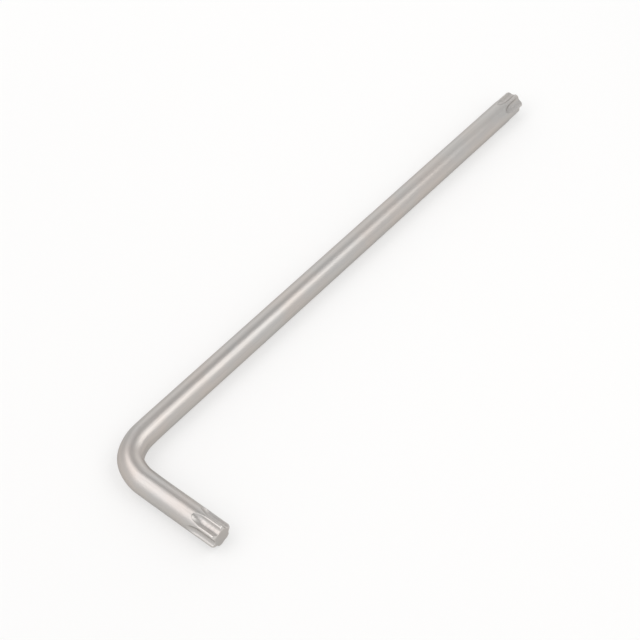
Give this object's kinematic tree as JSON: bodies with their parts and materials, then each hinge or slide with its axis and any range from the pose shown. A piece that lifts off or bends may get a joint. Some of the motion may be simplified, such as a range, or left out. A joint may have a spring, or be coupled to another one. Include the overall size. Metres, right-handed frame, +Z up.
{
  "type": "star key",
  "caption": "L-shaped key bent from one round steel bar, with a six-lobed star point formed in each end, for turning star-socket screws by hand.",
  "frame": {"origin": "middle of the key's box in X and Y, on the surface that the key lies on", "axes": "+X along the long arm towards its point, -Y along the short arm towards its point, +Z up, square to the flat of the L"},
  "size_m": [0.1724, 0.038, 0.0067],
  "materials": {
    "satin_chrome": "hardened steel with a matt, slightly warm satin-chrome skin; the edges of the star points are worn brighter"
  },
  "bodies": {
    "root": {"key_bar": "satin_chrome"}
  },
  "joints": []
}
